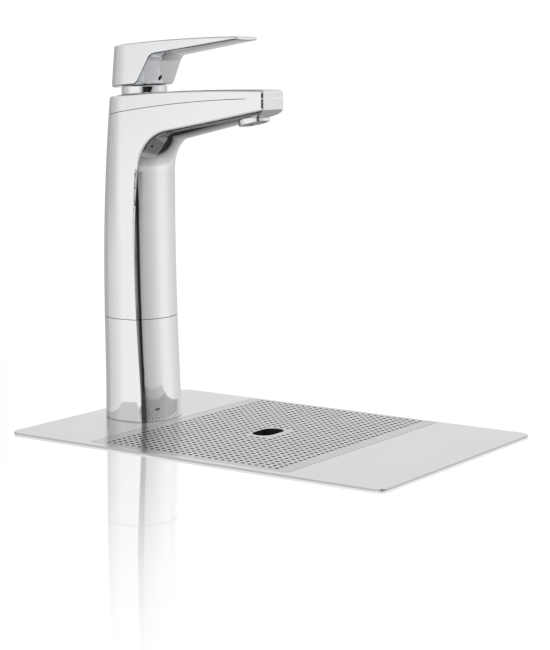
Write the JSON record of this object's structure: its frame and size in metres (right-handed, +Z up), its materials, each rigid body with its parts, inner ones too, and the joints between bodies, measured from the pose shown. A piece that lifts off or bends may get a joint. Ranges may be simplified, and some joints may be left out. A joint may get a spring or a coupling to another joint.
{
  "type": "countertop water dispenser",
  "caption": "Single-lever chrome dispenser column on a satin steel drip tray with a lift-out perforated grille, drain, and inlets and fixing below the counter.",
  "frame": {"origin": "on the column axis, at the level of the counter's top face, where the mounting shank passes through the counter", "axes": "+X towards the spout and the long end of the tray, +Z up away from the counter, +Y to the left of the spout seen from behind the column"},
  "size_m": [0.285, 0.188, 0.3575],
  "materials": {
    "satin_steel": "satin brushed stainless sheet",
    "basin_steel": "pressed stainless, fine satin",
    "tap_chrome": "mirror polished chrome plate",
    "lever_chrome": "mirror polished chrome plate",
    "aerator_plastic": "moulded plastic, satin",
    "cup_plastic": "dark moulded plastic",
    "valve_plastic": "pale moulded plastic",
    "rotor_plastic": "coloured moulded plastic",
    "brass": "turned brass",
    "steel_hardware": "zinc plated steel",
    "copper_tube": "drawn copper tube",
    "ceramic": "lapped ceramic",
    "black_rubber": "moulded rubber",
    "seal_foam": "closed cell foam tape"
  },
  "bodies": {
    "tap": {"tray_deck": "satin_steel", "deck_seals": "seal_foam", "drip_basin": "basin_steel", "drain_strainer": "satin_steel", "drain_spigot": "aerator_plastic", "drain_gasket": "black_rubber", "drain_nut": "aerator_plastic", "riser": "tap_chrome", "riser_base_gasket": "black_rubber", "riser_centring_ring": "valve_plastic", "mounting_shank": "brass", "counter_rubber_washer": "black_rubber", "counter_steel_washer": "steel_hardware", "shank_nut": "brass", "cold_inlet_tube": "copper_tube", "hot_inlet_tube": "copper_tube", "inlet_unions": "brass", "tap_body": "tap_chrome", "top_cover": "tap_chrome", "valve_seat": "brass", "outlet_tube": "copper_tube", "cartridge_housing": "valve_plastic", "cartridge_base": "valve_plastic", "port_seals": "black_rubber", "fixed_disc": "ceramic", "cartridge_nut": "brass", "dome_collar": "tap_chrome", "aerator_housing": "tap_chrome", "aerator_insert": "aerator_plastic", "aerator_washer": "black_rubber"},
    "grille": {"grille_panel": "satin_steel", "finger_cup": "cup_plastic"},
    "rotor": {"cartridge_rotor": "rotor_plastic", "pivot_pin": "steel_hardware"},
    "lever": {"lever": "lever_chrome", "spindle": "brass", "lever_grub_screw": "steel_hardware"},
    "disc": {"moving_disc": "ceramic", "disc_carrier": "valve_plastic"}
  },
  "joints": [
    {"name": "grille_lift", "type": "slide", "parent": "tap", "child": "grille", "axis": [0, 0, 1], "range_m": [0, 0.06]},
    {"name": "lever_swivel", "type": "hinge", "parent": "tap", "child": "rotor", "pos_m": [0.0045, 0, 0.208], "axis": [0, 0, 1], "range_deg": [-45, 45]},
    {"name": "lever_lift", "type": "hinge", "parent": "rotor", "child": "lever", "pos_m": [0.0045, 0, 0.208], "axis": [0, -1, 0], "range_deg": [0, 12]},
    {"name": "disc_slide", "type": "slide", "parent": "rotor", "child": "disc", "axis": [1, 0, 0], "range_m": [0, 0.0022]}
  ],
  "couplings": [
    {"joint": "disc_slide", "follows": "lever_lift", "m_per_rad": 0.01}
  ]
}
